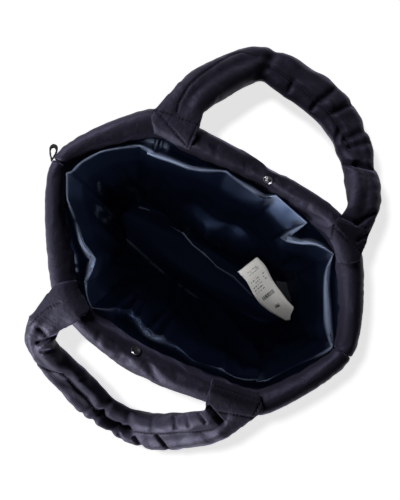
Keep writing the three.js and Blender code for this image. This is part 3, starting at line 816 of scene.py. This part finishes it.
# A new bottom closes the bag.
cut = bmesh.new()
cut.from_mesh(lining.data)
mark_edges(cut, lambda edge: edge.is_boundary and max(v.co.z for v in edge.verts) < 0.03)
cut.to_mesh(lining.data)
cut.free()
bpy.ops.object.mode_set(mode="EDIT")
bpy.ops.mesh.fill_grid(span=24)
bpy.ops.mesh.select_all(action="SELECT")
bpy.ops.mesh.normals_make_consistent(inside=True)
bpy.ops.object.mode_set(mode="OBJECT")
# Sharp bends stay sharp when the mesh is made finer.
cut = bmesh.new()
cut.from_mesh(lining.data)
pointed = cut.verts.layers.float.new("crease_vert")
for v in cut.verts:
    if v.co.z > 0.17 and min((v.co - corner).length for corner in corners) < 0.0018:
        v[pointed] = 0.9
sharp = cut.edges.layers.float.new("crease_edge")
for edge in cut.edges:
    if len(edge.link_faces) == 2 and max(v.co.z for v in edge.verts) > 0.16:
        edge[sharp] = min(max((edge.calc_face_angle(0) - 0.25) / 0.25, 0), 1)
cut.to_mesh(lining.data)
cut.free()
finer(lining, 2)
# The slack cloth crumples and hangs in upright ridges, and the bottom sags towards its seam.
slack = lining.vertex_groups.new(name="slack")
for index, height in enumerate(points_of(lining)[:, 2]):
    loose = np.clip((0.204 - height) / 0.02, 0, 1) * np.clip((height - 0.03) / 0.04, 0.15, 1)
    slack.add([index], float(loose), "REPLACE")
crumple = bpy.data.textures.new("lining_crumple", "VORONOI")
crumple.weight_1, crumple.weight_2 = -1, 1
crumple.noise_scale = 0.05
fold = lining.modifiers.new("Crumple", "DISPLACE")
fold.texture = crumple
fold.vertex_group = "slack"
fold.mid_level = 1
fold.strength = -0.007
apply_all(lining)
spots = points_of(lining)
x, y, z = spots.T
around = np.arctan2(y / LINING_WIDE, x / LINING_LONG)
slant = around + 0.4 * np.sin(2 * around + 1) * (z - 0.1) / 0.1
wide_ridge = (1 - abs(np.sin(5.5 * slant + 1.3 * np.sin(2 * slant)))) ** 1.5
fine_ridge = (1 - abs(np.sin(9.5 * slant + 2 * np.sin(3 * slant)))) ** 2
ridge = wide_ridge + 0.6 * fine_ridge
hung = np.clip((0.185 - z) / 0.03, 0, 1) * np.clip((z - 0.02) / 0.03, 0, 1)
hung *= np.clip((nearest(LABEL_PATH, spots * 1000)[0] - 20) / 12, 0, 1)
hung *= np.clip((nearest(BELLY_LINE, spots * 1000)[0] - 6) / 14, 0.1, 1)
inward = -np.stack([x / LINING_LONG**2, y / LINING_WIDE**2], 1)
inward /= np.linalg.norm(inward, axis=1, keepdims=True)
spots[:, :2] += inward * (0.006 * ridge * hung)[:, None]
half_x, half_y = abs(spots[z < 0.022, :2]).max(0)
sagged = np.clip((np.hypot(x / half_x, y / half_y) - 0.55) / 0.45, 0, 1) ** 2
spots[:, 2] += 0.012 * sagged * np.clip((0.075 - z) / 0.055, 0, 1)
bumps = 1 + np.sin(60 * x + 90 * y) * np.sin(110 * y - 35 * x)
spots[:, 2] += 0.0015 * bumps * np.clip((0.03 - z) / 0.01, 0, 1)
place_points(lining, spots)
# Single folds, gathers, pleats and crumples that show. The fold, the gathers and the crumples get painted
# highlights.
press(lining, FRONT_FOLD, -2.5, 2.0)
gap, _ = nearest(FRONT_FOLD, points_of(lining) * 1000)
mark(lining, "painted_fold_highlight", 0.08 * np.exp(-((gap / 0.9) ** 2)) * (z < 0.06))
# Painted highlight in short bunches along the seam.
for line in SEAM_GATHERS:
    gap, along = nearest(line, spots * 1000)
    bunch = np.clip(np.sin(1.9 * along + 1.5 * np.sin(0.5 * along)), 0, 1) * np.exp(-((gap / 1.8) ** 2))
    mark(lining, "painted_fold_highlight", 0.35 * bunch * (z > 0.17))
for above, below in FRONT_PLEATS:
    press(lining, [(above, -82 + 0.003 * max(above, 0) ** 2), (below, -60)], -3.0, 3.0, (0, 0.8, 0.6))
for line in CRUMPLES:
    press(lining, line, -0.9, 1.2)
    crumpled = points_of(lining)
    gap, _ = nearest(line, crumpled * 1000)
    mark(lining, "painted_fold_highlight", 0.07 * np.exp(-((gap / 0.9) ** 2)) * (crumpled[:, 2] < 0.17))
# The seam along the bottom stands up as a narrow strip, with a painted highlight along its upper edge.
strip = bmesh.new()
strip.from_mesh(lining.data)
fold_light = strip.verts.layers.float["painted_fold_highlight"]
foot = head = None
for step, (x, y) in enumerate(BOTTOM_SEAM):
    hit, spot, _, _ = lining.ray_cast((x / 1000, y / 1000, 0.1), (0, 0, -1))
    edge_width = 0.0018 + 0.0005 * (-1) ** step
    ends = [strip.verts.new(spot), strip.verts.new(spot + Vector((0, 0.82, 0.57)) * edge_width)]
    ends[1][fold_light] = 0.08 + 0.2 * math.sin(0.35 * step) ** 2
    ends[0][fold_light] = 0.05
    if step:
        strip.faces.new((foot, ends[0], ends[1], head))
    foot, head = ends
strip.to_mesh(lining.data)
strip.free()
wall = lining.modifiers.new("Wall", "SOLIDIFY")
wall.thickness = 0.0006
wall.offset = -1
apply_all(lining)
lining.vertex_groups.clear()
finish_piece(lining, taffeta, "lining", "lining")
bpy.ops.object.shade_smooth_by_angle(angle=math.radians(24))
# Two soft lamps reach the lining alone, and the lamp at the left end leaves it out.
lining_lamp = lamp("lining_lamp", (-0.45, -1.0, 1.3), (0, 0, 0.15), 0.7, 6.5)
lit_by(lining_lamp, lining, only=True)
lining_end_lamp = lamp("lining_end_lamp", (0.95, 0.25, 0.42), (-0.1, -0.02, 0.19), 0.3, 5)
lit_by(lining_end_lamp, lining, only=True)
lit_by(left_lamp, floor, lining, only=False)


# Snap halves
# A round pressed steel snap in two halves, set through the inner side of the rolled rim.
steel = bpy.data.materials.new("snap_steel")
steel.use_nodes = True
steel_shader = steel.node_tree.nodes["Principled BSDF"]
steel_shader.inputs["Metallic"].default_value = 1
steel_place = steel.node_tree.nodes.new("ShaderNodeTexCoord")
steel_noise = steel.node_tree.nodes.new("ShaderNodeTexNoise")
steel_noise.inputs["Scale"].default_value = 700
steel_noise.inputs["Detail"].default_value = 4
steel_tone = steel.node_tree.nodes.new("ShaderNodeMix")
steel_tone.data_type = "RGBA"
steel_tone.inputs["A"].default_value = (0.13, 0.13, 0.145, 1)
steel_tone.inputs["B"].default_value = (0.26, 0.26, 0.28, 1)
steel_gloss = steel.node_tree.nodes.new("ShaderNodeMapRange")
steel_gloss.inputs["To Min"].default_value = 0.22
steel_gloss.inputs["To Max"].default_value = 0.42
steel_link = steel.node_tree.links.new
steel_link(steel_place.outputs["Object"], steel_noise.inputs["Vector"])
steel_link(steel_noise.outputs["Fac"], steel_tone.inputs["Factor"])
steel_link(steel_noise.outputs["Fac"], steel_gloss.inputs["Value"])
steel_link(steel_tone.outputs["Result"], steel_shader.inputs["Base Color"])
steel_link(steel_gloss.outputs["Result"], steel_shader.inputs["Roughness"])


def select_faces(piece, rule):
    bpy.ops.mesh.select_all(action="DESELECT")
    bpy.ops.object.mode_set(mode="OBJECT")
    for face in piece.data.polygons:
        face.select = rule(face.center, face.normal)
    bpy.ops.object.mode_set(mode="EDIT")


def snap_half(node, socket, axis):
    """Half a snap that faces along axis: a hollow socket, or a half with a stud."""
    low, high = (Vector(corner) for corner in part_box(node))
    middle = (low + high) / 2
    bpy.ops.object.select_all(action="DESELECT")
    bpy.ops.mesh.primitive_cylinder_add(vertices=40, radius=0.0046, depth=0.0014)
    half = bpy.context.object
    half.name = half.data.name = node + "_pressed"
    bpy.ops.object.mode_set(mode="EDIT")
    bpy.ops.mesh.select_mode(type="FACE")
    select_faces(half, lambda centre, normal: normal.z > 0.9)
    bpy.ops.mesh.inset(thickness=0.0011)
    bpy.ops.mesh.extrude_region_move(TRANSFORM_OT_translate={"value": (0, 0, -0.0005)})
    bpy.ops.mesh.inset(thickness=0.0014)
    bpy.ops.mesh.extrude_region_move(TRANSFORM_OT_translate={"value": (0, 0, -0.0004 if socket else 0.0017)})
    bpy.ops.mesh.inset(thickness=0.0006)
    bpy.ops.mesh.select_all(action="SELECT")
    bpy.ops.mesh.normals_make_consistent(inside=False)
    bpy.ops.object.mode_set(mode="OBJECT")
    edge = half.modifiers.new("Edge", "BEVEL")
    edge.width = 0.00022
    edge.segments = 2
    edge.limit_method = "ANGLE"
    apply_all(half)
    turn = Vector((0, 0, 1)).rotation_difference(Vector(axis)).to_matrix().to_4x4()
    half.data.transform(Matrix.Translation(middle - Vector(axis) * 0.0009) @ turn)
    finish_piece(half, steel, "snap_metal", node)
    bpy.ops.object.shade_smooth_by_angle(angle=math.radians(35))


snap_half("back_snap", False, Vector((0.03, -0.80, 0.60)).normalized())
snap_half("front_snap", True, Vector((-0.02, 0.66, 0.75)).normalized())


# Labels
# Two tapes folded double and sewn by their ends into the lining's right seam: a white satin one with
# rows of small grey print, and a shorter dark grey one behind it.
def smooth_rows(rows, shares):
    """A smooth curve through the rows of a table, at shares of its length."""
    rows = np.array(rows, float)
    at = np.linspace(0, 1, len(rows))
    slopes = np.gradient(rows, at, axis=0)
    out = []
    for share in shares:
        k = min(int(share * (len(rows) - 1)), len(rows) - 2)
        span = at[k + 1] - at[k]
        t = (share - at[k]) / span
        h = ((1 + 2 * t) * (1 - t) ** 2, t * (1 - t) ** 2, t * t * (3 - 2 * t), t * t * (t - 1))
        places = h[0] * rows[k] + h[2] * rows[k + 1]
        out.append(places + span * (h[1] * slopes[k] + h[3] * slopes[k + 1]))
    return np.array(out)


def folded_tape(name, wide, rows, fold_gap):
    """A tape from its sewn end out to a fold and back below itself; rows give its middle and its across."""
    bpy.ops.object.select_all(action="DESELECT")
    bpy.ops.mesh.primitive_grid_add(x_subdivisions=72, y_subdivisions=8, size=1)
    tape = bpy.context.object
    tape.name = tape.data.name = name
    grid = points_of(tape)
    trip = (grid[:, 0] + 0.5) * 2
    share = np.where(trip <= 1, trip, 2 - trip)
    table = smooth_rows(rows, share)
    middle, across = table[:, :3] / 1000, table[:, 3:]
    across /= np.linalg.norm(across, axis=1, keepdims=True)
    ahead = smooth_rows(rows, np.minimum(share + 0.01, 1))[:, :3] - smooth_rows(rows, share - 0.01)[:, :3]
    ahead /= np.linalg.norm(ahead, axis=1, keepdims=True)
    up = np.cross(ahead, across)
    up *= np.where(up[:, 2:3] < 0, -1, 1)
    lift = fold_gap * np.sqrt(np.clip(1 - share**8, 0, 1)) * (0.25 + 0.75 * share)
    spot = middle + across * (grid[:, 1:2] * wide) + up * np.where(trip <= 1, lift, -lift)[:, None]
    place_points(tape, spot)
    skin = tape.modifiers.new("Tape", "SOLIDIFY")
    skin.thickness = 0.00035
    skin.offset = 0
    apply_all(tape)
    bpy.ops.object.mode_set(mode="EDIT")
    bpy.ops.mesh.select_all(action="SELECT")
    bpy.ops.mesh.normals_make_consistent(inside=False)
    bpy.ops.object.mode_set(mode="OBJECT")
    return tape


def label_material(name, tape_dark, tape_light, ink):
    """Tape cloth, with rows of small print where an ink is given."""
    material, shader = cloth_material(name, tape_dark, tape_light, 0.45, 0.4, 0.05, 300, 6000)
    if ink is None:
        return material
    tree = material.node_tree
    link = tree.links.new
    uv = tree.nodes.new("ShaderNodeUVMap")
    parts = tree.nodes.new("ShaderNodeSeparateXYZ")
    link(uv.outputs["UV"], parts.inputs[0])

    def step(operation, first, second):
        node = tree.nodes.new("ShaderNodeMath")
        node.operation = operation
        for socket, value in zip(node.inputs, (first, second)):
            if isinstance(value, (int, float)):
                socket.default_value = value
            else:
                link(value, socket)
        return node.outputs[0]

    along, over = parts.outputs["X"], parts.outputs["Y"]

    def within(value, low, high):
        return step("MULTIPLY", step("GREATER_THAN", value, low), step("LESS_THAN", value, high))

    def lines_of_print(first, last, near, far, rows, duty, letters):
        count = step("MULTIPLY", along, rows)
        in_row = step("LESS_THAN", step("FRACT", count, 0), duty)
        words = tree.nodes.new("ShaderNodeTexNoise")
        words.noise_dimensions = "2D"
        words.inputs["Scale"].default_value = 1
        words.inputs["Detail"].default_value = 0
        spot = tree.nodes.new("ShaderNodeCombineXYZ")
        link(step("MULTIPLY", over, letters), spot.inputs["X"])
        link(step("MULTIPLY", step("FLOOR", count, 0), 7.3), spot.inputs["Y"])
        link(spot.outputs[0], words.inputs["Vector"])
        in_word = step("MULTIPLY", in_row, step("GREATER_THAN", words.outputs["Fac"], 0.44))
        on_block = step("MULTIPLY", within(along, first, last), within(over, near, far))
        return step("MULTIPLY", in_word, on_block)

    print_mask = step("ADD", lines_of_print(0.40, 0.445, 0.25, 0.75, 67, 0.36, 20),
                      lines_of_print(0.262, 0.37, 0.12, 0.55, 46, 0.34, 18))
    print_mask = step("ADD", print_mask, lines_of_print(0.30, 0.37, 0.68, 0.84, 46, 0.34, 18))
    print_mask = step("ADD", print_mask, lines_of_print(0.198, 0.224, 0.2, 0.8, 35, 0.9, 40))
    print_mask = step("ADD", print_mask, lines_of_print(0.12, 0.140, 0.36, 0.62, 45, 0.9, 40))
    inked = tree.nodes.new("ShaderNodeMix")
    inked.data_type = "RGBA"
    inked.inputs["B"].default_value = ink
    before = shader.inputs["Base Color"].links[0].from_socket
    link(print_mask, inked.inputs["Factor"])
    link(before, inked.inputs["A"])
    link(inked.outputs["Result"], shader.inputs["Base Color"])
    return material


CARE_ROWS = [  # middle x, y, z, then the direction across
    (107, 2, 64, 0.45, 0.55, 0.70), (84.5, 4.5, 80, 0.40, 0.74, 0.54), (64, 11, 92, 0.28, 0.95, 0.15),
    (49, 19.3, 98, 0.31, 0.95, 0), (36.4, 23, 99, 0.34, 0.94, 0),
]
care = folded_tape("care_label_tape", 0.024, CARE_ROWS, 0.0016)
care_cloth = label_material(
    "white_satin_tape", (0.80, 0.79, 0.76, 1), (0.88, 0.87, 0.84, 1), (0.04, 0.04, 0.05, 1)
)
finish_piece(care, care_cloth, "care_label", "care_label")
care.visible_glossy = False
DARK_ROWS = [(99, 1, 54, 0.70, 0.70, 0), (95, 9, 58, 0.76, 0.64, 0), (88, 18, 66, 0.84, 0.52, 0),
             (78, 28, 71, 0.90, 0.43, 0)]
dark_tape = folded_tape("dark_label_tape", 0.017, DARK_ROWS, 0.0009)
dark_cloth = label_material("dark_tape", (0.016, 0.018, 0.024, 1), (0.028, 0.031, 0.040, 1), None)
finish_piece(dark_tape, dark_cloth, "dark_label", "dark_label")


# Side loop
# A small loop of stiff braided cord, sewn into the left side seam just below the rim.
cord_cloth, _ = cloth_material(
    "black_braid", (0.004, 0.004, 0.006, 1), (0.009, 0.009, 0.013, 1), 0.6, 0.25, 0.6, 900, 2600
)
low, high = (np.array(corner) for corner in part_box("side_loop"))
bpy.ops.object.select_all(action="DESELECT")
LOOP_RADIUS = 0.0062
bpy.ops.mesh.primitive_torus_add(
    major_radius=LOOP_RADIUS, minor_radius=0.002, major_segments=48, minor_segments=12
)
loop = bpy.context.object
loop.name = loop.data.name = "side_loop_cord"
ring = points_of(loop)
turn = np.arctan2(ring[:, 1], ring[:, 0])
ring[:, 1] *= 0.42 + 0.28 * np.cos(turn)
ring[:, 0] *= 1.02
strand = np.sin(8 * turn + 2 * np.arctan2(ring[:, 2], np.hypot(ring[:, 0], ring[:, 1]) - LOOP_RADIUS))
place_points(loop, ring + normals_of(loop) * 0.00012 * strand[:, None])
sewn_at = (low + high) / 2 + np.array([0.0045, -0.0025, 0.004])
loop.data.transform(Matrix.Translation(sewn_at) @ Matrix.Rotation(math.radians(112), 4, "Z"))
finer(loop, 1)
finish_piece(loop, cord_cloth, "cord", "side_loop")
